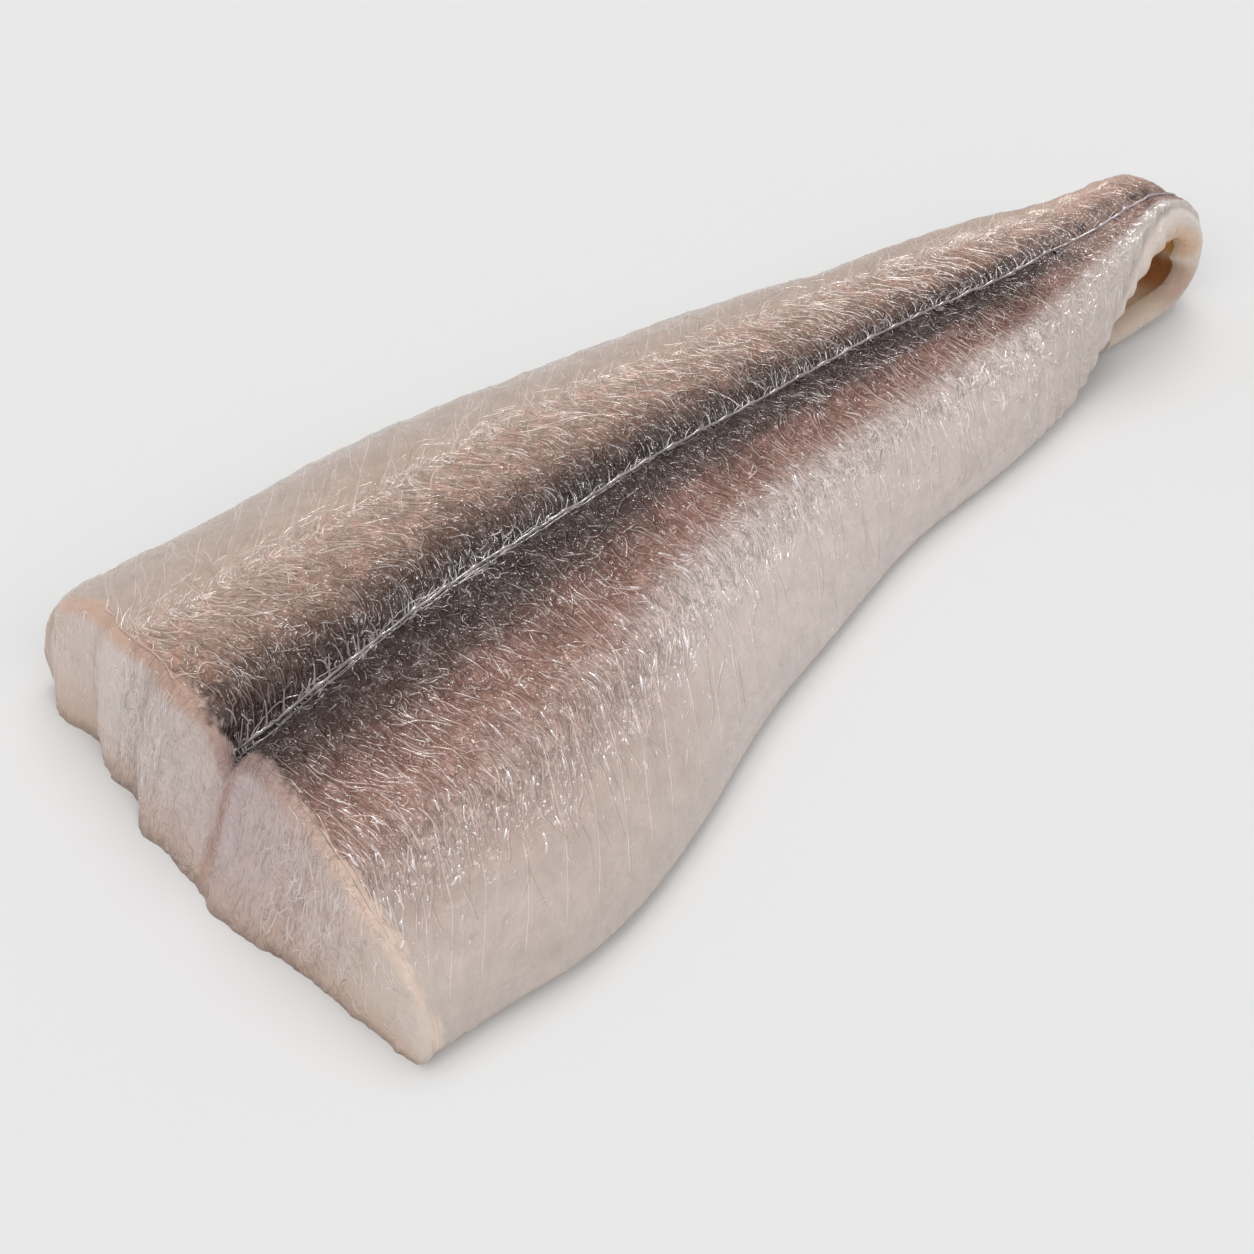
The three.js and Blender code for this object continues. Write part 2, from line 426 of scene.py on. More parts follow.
# %% [markdown]
# ## Fine wrinkles
# Between the threads the wet surface is drawn into fine wrinkles that run the same way. They
# are too many to model. Noise is turned into thin ridges where it crosses its middle value,
# and its coordinates are stretched along the walls, so that the ridges become long.

# %% Wrinkle group
wrinkle = bpy.data.node_groups.new("fine wrinkles", "ShaderNodeTree")
for name in ("Height", "Line"):
    wrinkle.interface.new_socket(name, in_out="OUTPUT", socket_type="NodeSocketFloat")
wrinkle_result = wrinkle.nodes.new("NodeGroupOutput")
mark = node(wrinkle, "Attribute", attribute_name="spot").outputs["Vector"]
mark = node(wrinkle, "SeparateXYZ", {0: mark}).outputs
wall_mark = node(wrinkle, "Attribute", attribute_name="wall").outputs["Fac"]
at_cut = fade(wrinkle, mark[0], 0.014, 0.002)
object_at = node(wrinkle, "TexCoord").outputs["Object"]
stir = node(wrinkle, "TexNoise", {"Vector": object_at, "Scale": 210, "Detail": 2})
stir = {0: stir.outputs["Color"], 1: (0.5, 0.5, 0.5)}
stir = node(wrinkle, "VectorMath", stir, operation="SUBTRACT").outputs[0]


def ridges(tree, wide, long, lift_up, sharp):
    """Thin ridges, so many millimetres apart across the lines and along them."""
    x = maths(tree, "MULTIPLY", wall_mark, WALL_STEP / wide)
    x = maths(tree, "MULTIPLY_ADD", maths(tree, "MULTIPLY", at_cut, mark[1]), 50 / wide, x)
    y = maths(tree, "MULTIPLY", mark[1], WIDEST / long)
    z = maths(tree, "MULTIPLY", mark[2], 34 / lift_up)
    spot_at = node(tree, "CombineXYZ", {0: x, 1: y, 2: z}).outputs[0]
    stirred = {0: stir, 1: (4.5 / wide,) * 3, 2: spot_at}
    spot_at = node(tree, "VectorMath", stirred, operation="MULTIPLY_ADD").outputs[0]
    waves = node(tree, "TexNoise", {"Vector": spot_at, "Scale": 1, "Detail": 1}).outputs["Fac"]
    off = maths(tree, "ABSOLUTE", maths(tree, "SUBTRACT", waves, 0.5))
    return maths(tree, "MULTIPLY_ADD", off, -sharp, 1.0, clamp=True)


long_ridges = ridges(wrinkle, 3.2, 9.0, 9.0, 17.0)
short_ridges = ridges(wrinkle, 1.9, 4.0, 5.0, 11.0)
soft_ridges = ridges(wrinkle, 1.3, 3.0, 5.0, 5.0)
lines = maths(wrinkle, "MAXIMUM", long_ridges, maths(wrinkle, "MULTIPLY", short_ridges, 0.75))
both = maths(wrinkle, "MULTIPLY_ADD", lines, 0.6, maths(wrinkle, "MULTIPLY", soft_ridges, 0.4))
smooth_back, smooth_belly = fade(wrinkle, mark[1], 0.42, 0.58), fade(wrinkle, mark[1], -0.6, -0.8)
smooth_side = maths(wrinkle, "MAXIMUM", smooth_back, smooth_belly)
turning = maths(wrinkle, "PINGPONG", at_cut, 0.5)
half_cut = maths(wrinkle, "MULTIPLY", at_cut, 0.35)
turning = maths(wrinkle, "MAXIMUM", fade(wrinkle, turning, 0.0, 0.1), half_cut)
smooth_side = maths(wrinkle, "MAXIMUM", maths(wrinkle, "MULTIPLY", smooth_side, 0.9), turning)
smooth_tail = maths(wrinkle, "MULTIPLY", fade(wrinkle, mark[0], 2.15, 2.45), 0.65)
smooth_side = maths(wrinkle, "MAXIMUM", smooth_side, smooth_tail)
level = node(wrinkle, "Mix", {"Factor": smooth_side, 2: both, 3: 0.4}).outputs[0]
wrinkle.links.new(level, wrinkle_result.inputs["Height"])
broken = node(wrinkle, "TexNoise", {"Vector": object_at, "Scale": 260, "Detail": 1}).outputs["Fac"]
broken = fade(wrinkle, broken, 0.36, 0.6)
lines = maths(wrinkle, "MULTIPLY", lines, maths(wrinkle, "SUBTRACT", 1.0, smooth_side))
wrinkle.links.new(maths(wrinkle, "MULTIPLY", lines, broken), wrinkle_result.inputs["Line"])
print("wrinkle group", len(wrinkle.nodes), "nodes")


def use(tree, group):
    made = tree.nodes.new("ShaderNodeGroup")
    made.node_tree = group
    return made


# %% [markdown]
# ## Colours of the flesh
# A skinned saithe fillet is dark along its lateral line, where fat and dark muscle lie over the
# pale flesh. Brown fades to pinkish beige on both sides, redder in patches on the belly side.
# The cut end is pale, with a peach rim below the outer surface. The flesh and the fibres on
# it share these colours, so they are one node group. It gives out a colour only.

# %% Colour group
colours = bpy.data.node_groups.new("flesh colours", "ShaderNodeTree")
colours.interface.new_socket("Lift", in_out="INPUT", socket_type="NodeSocketFloat")
colours.interface.new_socket("Pale", in_out="INPUT", socket_type="NodeSocketColor")
colours.interface.new_socket("Color", in_out="OUTPUT", socket_type="NodeSocketColor")
given = colours.nodes.new("NodeGroupInput")
result = colours.nodes.new("NodeGroupOutput")

spot = node(colours, "Attribute", attribute_name="spot").outputs["Vector"]
spot = node(colours, "SeparateXYZ", {0: spot}).outputs
how_far, across, up = spot[0], spot[1], spot[2]
broad = noise(colours, 75, 3)
middling = noise(colours, 240, 3)
fine = noise(colours, 900, 2)
narrow = maths(colours, "MULTIPLY_ADD", fade(colours, how_far, 1.7, 2.5), -0.22, 1.0)
shift = maths(colours, "MULTIPLY", across, narrow)
shift = maths(colours, "MULTIPLY_ADD", maths(colours, "SUBTRACT", broad, 0.5), 0.17, shift)
shift = maths(colours, "MULTIPLY_ADD", maths(colours, "SUBTRACT", fine, 0.5), 0.08, shift)
position = maths(colours, "MULTIPLY_ADD", shift, 0.5, 0.5)
tone = ramp(colours, position, [
    (0.00, (204, 191, 183)), (0.10, (192, 174, 164)), (0.175, (175, 153, 144)),
    (0.225, (172, 142, 131)), (0.275, (157, 120, 107)), (0.325, (124, 89, 77)),
    (0.375, (88, 62, 54)), (0.425, (64, 44, 39)), (0.49, (52, 36, 32)),
    (0.53, (62, 44, 38)), (0.575, (100, 74, 62)), (0.63, (151, 121, 105)),
    (0.69, (174, 147, 132)), (0.75, (186, 163, 149)), (0.80, (185, 165, 152)),
    (0.90, (190, 174, 164)), (1.00, (196, 183, 173)),
])
print("colour group", len(colours.nodes), "nodes so far")

# %% Patches, rim and cut end
belly_band = fade(colours, across, -0.62, -0.42)
belly_band = maths(colours, "MULTIPLY", belly_band, fade(colours, across, -0.2, -0.32))
red = maths(colours, "MULTIPLY", belly_band, fade(colours, broad, 0.42, 0.62))
tone = blend(colours, maths(colours, "MULTIPLY", red, 0.6), tone, srgb(160, 118, 107))
back_band = maths(colours, "MULTIPLY", fade(colours, across, 0.1, 0.3), fade(colours, across, 0.56, 0.48))
warm = maths(colours, "MULTIPLY", back_band, fade(colours, middling, 0.42, 0.68))
tone = blend(colours, maths(colours, "MULTIPLY", warm, 0.5), tone, srgb(190, 145, 128))
cold = maths(colours, "MULTIPLY", fade(colours, across, -0.40, -0.60), fade(colours, how_far, 0.6, 1.1))
tone = blend(colours, maths(colours, "MULTIPLY", cold, 0.68), tone, srgb(214, 202, 197))
value = maths(colours, "MULTIPLY_ADD", middling, 0.30, 0.85)
value = maths(colours, "MULTIPLY", value, maths(colours, "MULTIPLY_ADD", fine, 0.14, 0.93))
# The fine wrinkles darken the flesh in their valleys: painted shade in the creases.
wrinkle_light = use(colours, wrinkle).outputs
value = maths(colours, "MULTIPLY", value, maths(colours, "MULTIPLY_ADD", wrinkle_light["Height"], 0.5, 0.80))
away = maths(colours, "ABSOLUTE", maths(colours, "ADD", across, 0.04))
# A Lift below zero darkens instead of paling, most along the middle: painted shadow, used by the dark
# threads beside the pale ones.
shadow_darkening = maths(colours, "MULTIPLY_ADD", fade(colours, away, 0.55, 0.3), 0.75, 0.25)
shadow_lift = maths(colours, "MINIMUM", given.outputs["Lift"], 0.0)
shadow_darkening = maths(colours, "MULTIPLY_ADD", shadow_lift, shadow_darkening, 1.0)
value = maths(colours, "MULTIPLY", value, shadow_darkening)
tone = node(colours, "HueSaturation", {"Value": value, "Color": tone}).outputs["Color"]
tail_brown = maths(colours, "MULTIPLY", fade(colours, how_far, 2.25, 2.6), fade(colours, away, 0.6, 0.4))
tail_brown = maths(colours, "MULTIPLY", tail_brown, fade(colours, middling, 0.3, 0.55))
tone = blend(colours, maths(colours, "MULTIPLY", tail_brown, 0.6), tone, srgb(178, 144, 130))
fold_top = maths(colours, "MULTIPLY", fade(colours, how_far, 2.38, 2.6), fade(colours, across, 0.12, 0.5))
tone = blend(colours, maths(colours, "MULTIPLY", fold_top, 0.6), tone, srgb(198, 160, 144))

dark = fade(colours, away, 0.34, 0.12)
deep = maths(colours, "MULTIPLY", dark, fade(colours, how_far, 1.3, 0.7))
tone = blend(colours, maths(colours, "MULTIPLY", deep, 0.22), tone, srgb(38, 25, 21))
wall = node(colours, "Attribute", attribute_name="wall").outputs["Fac"]
wall = maths(colours, "MULTIPLY_ADD", maths(colours, "SUBTRACT", middling, 0.5), 0.35, wall)
line = maths(colours, "PINGPONG", wall, 0.5)
line = fade(colours, line, 0.09, 0.0)
line = maths(colours, "MULTIPLY", line, fade(colours, away, 0.15, 0.5))
tone = blend(colours, maths(colours, "MULTIPLY", line, 0.2), tone, srgb(214, 200, 190))

ragged = maths(colours, "SUBTRACT", middling, 0.5)
ragged = maths(colours, "MULTIPLY", ragged, fade(colours, up, 0.9, 1.0))
ragged = maths(colours, "MULTIPLY_ADD", ragged, 0.09, how_far)
end = fade(colours, ragged, 0.026, 0.002)
near_rim = fade(colours, up, 0.88, 0.98)
cut = ramp(colours, maths(colours, "MULTIPLY_ADD", across, 0.5, 0.5), [
    (0.0, (220, 206, 194)), (0.12, (212, 192, 179)), (0.3, (205, 182, 175)), (0.45, (200, 180, 178)),
    (0.478, (178, 140, 130)), (0.50, (206, 187, 181)), (0.75, (217, 203, 197)), (1.0, (212, 190, 174)),
])
rim_colour = ramp(colours, maths(colours, "MULTIPLY_ADD", across, 0.5, 0.5), [
    (0.0, (228, 209, 195)), (0.2, (224, 194, 176)), (0.36, (186, 154, 142)), (0.43, (140, 112, 104)),
    (0.5, (150, 122, 116)), (0.56, (186, 150, 136)), (0.62, (194, 152, 129)), (0.8, (204, 164, 142)),
    (1.0, (208, 174, 156)),
])
cut = blend(colours, maths(colours, "MULTIPLY", near_rim, 0.75), cut, rim_colour)
lower_cut = maths(colours, "MULTIPLY", fade(colours, up, 0.45, 0.0), 0.7)
cut = blend(colours, lower_cut, cut, srgb(196, 166, 148))
# Soft darker lines where one flake of the cut meets the next: painted shade at the junctions.
flake_shade = maths(colours, "MULTIPLY", up, maths(colours, "SUBTRACT", 1.0, up))
flake_at = maths(colours, "MULTIPLY_ADD", across, 66 / FLAKE_WIDE, -3.5 / FLAKE_WIDE)
flake_shade = maths(colours, "MULTIPLY_ADD", flake_shade, -14 / FLAKE_WIDE, flake_at)
flake_shade = maths(colours, "MULTIPLY_ADD", maths(colours, "SUBTRACT", broad, 0.5), 0.12, flake_shade)
flake_shade = fade(colours, maths(colours, "PINGPONG", flake_shade, 0.5), 0.2, 0.0)
flake_shade = maths(colours, "MULTIPLY", flake_shade, fade(colours, across, 0.2, 0.3))
cut = blend(colours, maths(colours, "MULTIPLY", flake_shade, 0.3), cut, srgb(166, 134, 120))
calm = maths(colours, "MULTIPLY_ADD", value, 0.35, 0.67)
cut = node(colours, "HueSaturation", {"Value": calm, "Color": cut}).outputs["Color"]
tone = blend(colours, end, tone, cut)

# %% Underside, curl and lift
below = fade(colours, up, 0.10, 0.02)
underside = fade(colours, middling, 0.35, 0.65)
underside = blend(colours, underside, srgb(200, 186, 174), srgb(188, 168, 152))
below = maths(colours, "MULTIPLY", below, maths(colours, "SUBTRACT", 1.0, end))
tone = blend(colours, below, tone, underside)
strip_side = fade(colours, how_far, 2.35, 2.6)
strip_side = maths(colours, "MULTIPLY", strip_side, fade(colours, across, -0.55, -0.85))
tone = blend(colours, maths(colours, "MULTIPLY", strip_side, 0.85), tone, srgb(214, 203, 195))
# Inside the hollow of the curl the flesh turns ochre: its own yellowish tone, darkened lower down as
# painted shade deep in the hollow, with less of it on the wrinkle that bulges in.
hollow = maths(colours, "MULTIPLY", fade(colours, how_far, 2.45, 2.6), fade(colours, up, 0.9, 0.3))
hollow = maths(colours, "MULTIPLY", hollow, fade(colours, across, -1.15, -0.85))
pinch = maths(colours, "MULTIPLY", fade(colours, how_far, 2.85, 2.9), fade(colours, how_far, 2.96, 2.9))
hollow = maths(colours, "MULTIPLY", hollow, maths(colours, "MULTIPLY_ADD", pinch, -0.6, 1.0))
ochre_and_shade = blend(colours, fade(colours, how_far, 2.88, 2.97), srgb(216, 160, 88), srgb(160, 100, 44))
ochre_and_shade = blend(colours, fade(colours, how_far, 3.02, 3.15), ochre_and_shade, srgb(202, 178, 150))
tone = blend(colours, hollow, tone, ochre_and_shade)
# The wrinkles' ridge lines are made paler: partly painted highlight along the ridges, partly their paler
# tissue.
tone = blend(colours, maths(colours, "MULTIPLY", wrinkle_light["Line"], 0.08), tone, given.outputs["Pale"])
held_back = maths(colours, "MULTIPLY_ADD", dark, -0.46, 1.0)
lifted = maths(colours, "MULTIPLY", given.outputs["Lift"], held_back)
pale = blend(colours, maths(colours, "MULTIPLY", dark, 0.7), given.outputs["Pale"], srgb(200, 184, 184))
tone = blend(colours, lifted, tone, pale)
colours.links.new(tone, result.inputs["Color"])
print("colour group", len(colours.nodes), "nodes")

# %% [markdown]
# ## Wet surface
# Raw flesh is wet: the surface under the water film is full of tiny bumps, each with its own
# glint. The bumps are noise at two sizes, added to the fine wrinkles. The group gives out a height
# for a Bump node and a roughness, which both change over the surface; the shader stays outside.

# %% Wet group
wet = bpy.data.node_groups.new("wet surface", "ShaderNodeTree")
for name in ("Height", "Roughness"):
    wet.interface.new_socket(name, in_out="OUTPUT", socket_type="NodeSocketFloat")
wet_result = wet.nodes.new("NodeGroupOutput")
grain = noise(wet, 1500, 3)
swells = noise(wet, 420, 3, distortion=0.6)
height = maths(wet, "MULTIPLY_ADD", grain, 0.06, maths(wet, "MULTIPLY", swells, 0.62))
folds = use(wet, wrinkle).outputs["Height"]
height = maths(wet, "MULTIPLY_ADD", folds, 1.2, height)
patches = noise(wet, 160, 2)
rough = {"Value": patches, "From Min": 0.35, "From Max": 0.65, "To Min": 0.17, "To Max": 0.34}
rough = node(wet, "MapRange", rough)
wet.links.new(height, wet_result.inputs["Height"])
wet.links.new(rough.outputs["Result"], wet_result.inputs["Roughness"])
print("wet group", len(wet.nodes), "nodes")

# %% Wet flesh materials


def wet_material(name, lift, coat=0.0, bump=0.2, scatter=0.0, shine=0.5, pale=(244, 226, 218)):
    """Flesh colours under a water film. Lift is how much paler than the flesh, lowest and highest; below
    zero it darkens, as painted shadow.
    """
    made = bpy.data.materials.new(name)
    made.use_nodes = True
    tree = made.node_tree
    shader = tree.nodes["Principled BSDF"]
    tint, film = use(tree, colours), use(tree, wet)
    patches = {"Value": noise(tree, 220, 2), "From Min": 0.36, "From Max": 0.64}
    patches.update({"To Min": lift[0], "To Max": lift[1]})
    tree.links.new(node(tree, "MapRange", patches).outputs["Result"], tint.inputs["Lift"])
    bumps = {"Strength": bump, "Distance": 0.0005, "Height": film.outputs["Height"]}
    relief_node = node(tree, "Bump", bumps)
    tree.links.new(tint.outputs["Color"], shader.inputs["Base Color"])
    tree.links.new(film.outputs["Roughness"], shader.inputs["Roughness"])
    tree.links.new(relief_node.outputs["Normal"], shader.inputs["Normal"])
    shader.inputs["Specular IOR Level"].default_value = shine
    tint.inputs["Pale"].default_value = srgb(*pale)
    shader.inputs["Coat Weight"].default_value = coat
    shader.inputs["Coat Roughness"].default_value = 0.12
    shader.inputs["Subsurface Weight"].default_value = scatter
    shader.inputs["Subsurface Scale"].default_value = 0.004
    shader.inputs["Subsurface Radius"].default_value = (1.0, 0.45, 0.3)
    return made


flesh_mesh.materials.append(wet_material("wet_flesh", (0.0, 0.02), 0.0, 1.0, 0.12, 0.36))
print("materials:", [m.name for m in bpy.data.materials])

# %% [markdown]
# ## Fibres
# Skinning leaves the surface covered with pale threads of torn tissue, half sunk in the flesh.
# They could be painted or bumped, but they catch the light and cast small shadows, so they are
# made as thin tapered tubes. Each thread is a curve that creeps over the surface: it starts
# somewhere, follows the lines of the walls with a wobble, dives under at both ends, and is
# then made a mesh. For every four threads one branch is added. Most also have a dark thread
# beside them on their shadow side, which is painted shadow: it makes the pale thread stand out.

# %% Walk over the surface


def raised(s, v, height, w=None):
    """Points raised by a height in millimetres, on top, or on the cut where w is given."""
    up = np.ones_like(s) if w is None else w
    here = place(s, v, up)
    ahead = place(s + 0.4, v, up) - here if w is None else place(s, v, w + 0.02) - here
    beside = place(s, np.clip(v + 0.006, -1, 1), up) - place(s, v - 0.006, up)
    normal = np.cross(ahead, beside)
    normal /= np.linalg.norm(normal, axis=-1, keepdims=True)
    return here + normal * np.asarray(height)[..., None] / 1000


def flow(v):
    """How far the lines run tailward for each step towards the back."""
    return np.interp(v, (LINE_V[1:] + LINE_V[:-1]) / 2, np.diff(LINE_S) / np.diff(LINE_V) / WIDEST)


def walk(s, v, lengths, steps, turn, curl, sway, rng):
    """Threads from (s, v) along the flow, first turned, then bent by a curl and a sway."""
    step = lengths / steps
    bend = curl * step
    drift = np.cumsum(rng.normal(0, 1, (len(s), steps)), axis=1) * sway
    path_s, path_v = [s], [v]
    for k in range(steps):
        far, over = path_s[-1], path_v[-1]
        d = over * half_width(far, over)
        swirl = 0.4 * lumps(far / 7 + 20, d / 5 + 20, 7)
        loose = 0.85 - 0.6 * smooth(0.15, 0.4, np.abs(over))
        swirl = swirl + loose * lumps(far / 2.8 + 9, d / 2.4 + 40, 8)
        way = np.arctan2(1, flow(over)) + swirl + turn + bend * k + drift[:, k]
        path_s.append(np.clip(far + np.cos(way) * step, 0.6, 300))
        path_v.append(np.clip(over + np.sin(way) * step / half_width(far, over), -0.985, 0.985))
    return np.stack(path_s, 1), np.stack(path_v, 1)


def curly(s, v, length, steps, curl, sway, rng):
    """Short threads that set out in any direction and bend as they go."""
    many = len(s)
    lengths, turns = rng.uniform(*length, many), rng.uniform(0, 6.3, many)
    return walk(s, v, lengths, steps, turns, rng.normal(0, curl, many), sway, rng)


# %% Threads as curves


def threads(name, runs, material):
    """One mesh piece from many threads; runs are (points, radii in mm, s, v, w) arrays."""
    curve = bpy.data.curves.new(name, "CURVE")
    curve.dimensions = "3D"
    curve.bevel_depth = 0.001
    curve.bevel_resolution = 0
    marks = []
    for points, radii, s, v, w in runs:
        flat = np.concatenate([points, np.ones(points.shape[:2] + (1,))], -1).astype(np.float32)
        for k in range(len(points)):
            spline = curve.splines.new("POLY")
            spline.points.add(points.shape[1] - 1)
            spline.points.foreach_set("co", flat[k].ravel())
            spline.points.foreach_set("radius", radii[k].astype(np.float32))
        marks.append(np.repeat(np.stack([s, v, w], -1).reshape(-1, 3), 4, axis=0))
    maker = bpy.data.objects.new(name + "_curve", curve)
    mesh = bpy.data.meshes.new_from_object(maker)
    mesh.name = name
    tubes = bmesh.new()
    tubes.from_mesh(mesh)
    bmesh.ops.holes_fill(tubes, edges=[e for e in tubes.edges if e.is_boundary], sides=4)
    tubes.to_mesh(mesh)
    tubes.free()
    marks = np.concatenate(marks)
    note(mesh, marks[:, 0], marks[:, 1], marks[:, 2])
    mesh.shade_smooth()
    mesh.materials.clear()
    mesh.materials.append(material)
    made = bpy.data.objects.new(name, mesh)
    scene.collection.objects.link(made)
    bpy.data.objects.remove(maker)
    bpy.data.curves.remove(curve)
    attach(made, "root")
    print(name, len(made.data.polygons) * 2, "triangles")
    return made


def laid(s, v, radius, tip=0.35, sunk=0.35):
    """Lay threads on the flesh: thin, sunk ends and a fuller middle."""
    t = np.linspace(-1, 1, s.shape[1])
    radii = radius[:, None] * (tip + (1 - tip) * (1 - t ** 4)) * (1 + 0.15 * np.sin(3 * t + s))
    height = -radius[:, None] * (sunk + 1.1 * np.abs(t) ** 5)
    return raised(s, v, height), radii, s, v, np.ones_like(s)


# %% Minor fibres
thread_pale = wet_material("pale_threads", (0.08, 0.48), 0.3, 0.1, 0.0, 0.5)
# Dark threads beside the pale ones: their colour is painted shadow on the threads' shadow side.
shadow_material = wet_material("painted_shadows", (-0.45, -0.2), 0.0, 0.1, 0.0, 0.1)


def scatter(count, v_low, v_high, s_low, s_high, rng, gap=1.5, long=5.0):
    """Random starts between two lines across, kept so many mm apart across and along the lines."""
    s, v = rng.uniform(s_low, s_high, count * 6), rng.uniform(v_low, v_high, count * 6)
    lane, far = wall_count(s, v) * WALL_STEP / gap, v * half_width(s, v) / long
    kept = []
    for k in range(len(s)):
        if len(kept) < count:
            near = (lane[kept] - lane[k]) ** 2 + (far[kept] - far[k]) ** 2
            if not kept or near.min() > rng.uniform(0.5, 1.3):
                kept.append(k)
    return s[kept], v[kept]


def fibres(count, band, length, radius, turn, curl, seed,
           s_low=1, s_high=262, steps=8, sway=0.04, sunk=0.25, lean=0.0, gap=1.5):
    """A run of threads in one band across, with one branch added for every four."""
    rng = np.random.default_rng(seed)
    s, v = scatter(count, band[0], band[1], s_low, s_high, rng, gap, 0.45 * sum(length))
    many = len(s)
    turns = rng.normal(lean, turn, many) + rng.choice([0, math.pi], many)
    curls = rng.normal(0, curl, many)
    s, v = walk(s, v, rng.uniform(*length, many), steps, turns, curls, sway, rng)
    pick = rng.integers(0, many, many // 4)
    joint = rng.integers(1, steps, many // 4)
    side = turns[pick] + rng.choice([-1, 1], many // 4) * rng.uniform(0.3, 0.6, many // 4)
    twig_s, twig_v = walk(s[pick, joint], v[pick, joint], rng.uniform(*length, many // 4) * 0.6, steps,
                          side, rng.normal(0, curl, many // 4), sway, rng)
    s, v = np.concatenate([s, twig_s]), np.concatenate([v, twig_v])
    return laid(s, v, rng.uniform(*radius, len(s)), 0.55, sunk)


def shadow_beside(run, aside=0.34):
    """A painted shadow on the shadow side of each thread of a run: a dark thread of its own."""
    points, radii, s, v, w = run
    half = half_width(s, v)
    ds, dd = np.gradient(s, axis=1), np.gradient(v * half, axis=1)
    side = aside * np.sign(ds + dd) / np.hypot(ds, dd)
    s, v = np.maximum(s + side * dd, 0.8), np.clip(v - side * ds / half, -0.985, 0.985)
    return raised(s, v, -0.5 * radii), radii, s, v, w


back_runs = [
    fibres(200, (0.03, 0.26), (3, 8), (0.16, 0.25), 0.25, 0.15, 11, s_high=226, steps=10, gap=1.7),
    fibres(230, (0.22, 0.52), (6, 16), (0.17, 0.25), 0.1, 0.03, 12, s_high=228, steps=12, gap=2.2),
    fibres(210, (0.02, 0.34), (1.6, 4.0), (0.15, 0.23), 0.8, 0.8, 13, steps=8, s_high=222, gap=1.5),
    fibres(110, (0.5, 0.95), (6, 16), (0.14, 0.2), 0.25, 0.03, 14, steps=10, gap=2.5),
]
belly_runs = [
    fibres(210, (-0.3, -0.03), (2.5, 7), (0.16, 0.24), 0.35, 0.2, 21, steps=9, s_high=226, gap=1.8),
    fibres(240, (-0.52, -0.25), (5, 13), (0.17, 0.25), 0.14, 0.04, 22, steps=12, s_high=230, gap=2.1),
    fibres(430, (-0.76, -0.42), (5, 13), (0.15, 0.23), 0.12, 0.03, 23,
           steps=10, s_high=230, lean=0.12, gap=1.5),
    fibres(250, (-0.5, -0.06), (1.6, 4.2), (0.15, 0.23), 0.8, 0.8, 24, steps=8, s_high=222, gap=1.5),
    fibres(160, (-0.97, -0.7), (1, 4), (0.12, 0.18), 0.15, 0.0, 25, steps=4, lean=-0.28),
]
threads("fibres_back", back_runs, thread_pale)
threads("fibres_belly", belly_runs, thread_pale)
# The dark threads laid beside most of these are painted shadow.
threads("painted_shadows", [shadow_beside(run) for run in back_runs[:3] + belly_runs[:4]], shadow_material)
fold_wet = wet_material("wet_folds", (0.0, 0.1), 0.0, 0.3, 0.0, 0.5)
threads("folds", [
    fibres(350, (0.02, 0.45), (2, 7), (0.3, 0.45), 0.3, 0.2, 16, steps=7, sunk=0.7, gap=1.2),
    fibres(450, (-0.55, -0.02), (2, 6), (0.3, 0.45), 0.4, 0.2, 26, steps=7, sunk=0.7, gap=1.2),
], fold_wet)

# %% [markdown]
# ## Glints
# Liquid gathers beside the lines of the belly side as long flat pads, and on both sides as
# short dashes. Their near-white colour is painted highlight, standing for the glint on the liquid.
# They are made like the threads, but wider or shorter and under a clear coat.

# %% Glints
# Near-white colour of the glints: painted highlight.
glint_wet = wet_material("glints", (0.35, 0.75), 1.0, 0.1, 0.0, 0.6, (242, 236, 238))
threads("glints", [
    fibres(170, (-0.78, -0.46), (2, 6), (0.32, 0.55), 0.08, 0.0, 27,
           s_high=225, steps=6, sunk=0.62, lean=0.05),
    fibres(520, (-0.9, -0.3), (0.5, 1.6), (0.14, 0.22), 0.15, 0.0, 28,
           s_high=215, steps=3, sunk=0.1, lean=0.1),
    fibres(260, (0.12, 0.6), (0.5, 1.4), (0.13, 0.2), 0.3, 0.0, 29, s_high=220, steps=3, sunk=0.1),
], glint_wet)

# %% [markdown]
# ## The middle line and the main lines
# A pale line of tissue runs down the middle of the dark strip. It has a knot at each wall, where
# a longer line sets out towards the back; on the belly side the lines start further out. Stiff
# barbs stand off it: large ones on the back side, leaning tailward, and small ones on both.
# Near the cut it has more strands, and curls beside it; towards the tail it is one clean line.
# Several thin tubes side by side look more like tissue than one thick tube does.

# %% The middle line
middle_pale = wet_material("pale_middle", (0.7, 1.2), 0.4, 0.1, 0.0, 0.6, (192, 182, 196))
MIDDLE_S = np.array([0, 60, 100, 140, 170, 205, 240, 252, 266, 330])
MIDDLE_D = np.array([1.3, 0, -1, -0.5, 0.7, 1.3, -0.7, -2.3, -2.5, -2.5])


def middle_line(s):
    """Where the middle line lies across, at s along."""
    d = np.interp(s, MIDDLE_S, MIDDLE_D)
    return d / half_width(s, d)


def strand(start, end, step, radius, wide, turns, phase, knot, rng, sunk=0.2):
    """One strand of the middle line, swinging from side to side, thicker at the knots."""
    s = np.arange(start, end, step)
    d = wide * np.sin(s / turns + phase) + 0.06 * rng.normal(size=len(s))
    v = middle_line(s) + d / half_width(s, d)
    near_knot = bell((wall_count(s, v) - np.rint(wall_count(s, v))) / 0.09)
    radii = (radius + knot * near_knot) * smooth(start - 4, start + 6, s) * smooth(end + 1, end - 25, s)
    s, v, radii = s[None], v[None], radii[None]
    return raised(s, v, radii * (0.5 - sunk)), radii, s, v, np.ones_like(s)


